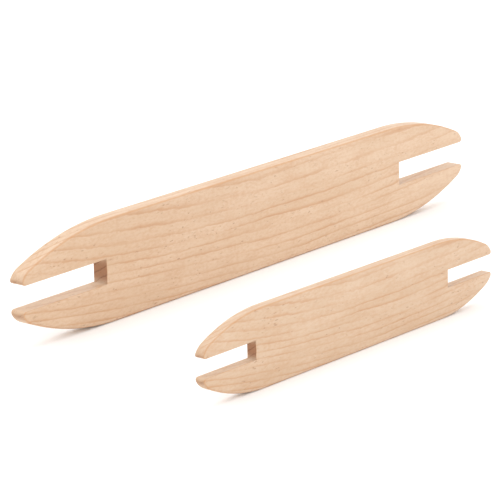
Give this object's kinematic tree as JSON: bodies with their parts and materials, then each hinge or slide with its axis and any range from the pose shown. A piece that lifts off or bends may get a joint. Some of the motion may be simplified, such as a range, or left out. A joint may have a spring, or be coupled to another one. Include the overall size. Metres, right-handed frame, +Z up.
{
  "type": "stick shuttle set",
  "caption": "Flat wooden stick shuttles for hand weaving, one long and one short, each with an open yarn slot at both ends.",
  "frame": {"origin": "middle of the large shuttle's lower long edge, which rests on the table", "axes": "+X along the large shuttle's length, +Y through its thickness and away from the small shuttle, +Z up from the lower edge to the upper edge"},
  "size_m": [0.266, 0.0977, 0.0375],
  "materials": {
    "shuttle_wood": "pale fine-grained hardwood, sanded smooth and lightly oiled, satin"
  },
  "bodies": {
    "large": {"large_shuttle": "shuttle_wood"},
    "small": {"small_shuttle": "shuttle_wood"}
  },
  "joints": [
    {"name": "small_lift", "type": "slide", "parent": "large", "child": "small", "axis": [0, 0, 1], "range_m": [0, 0.05]}
  ]
}
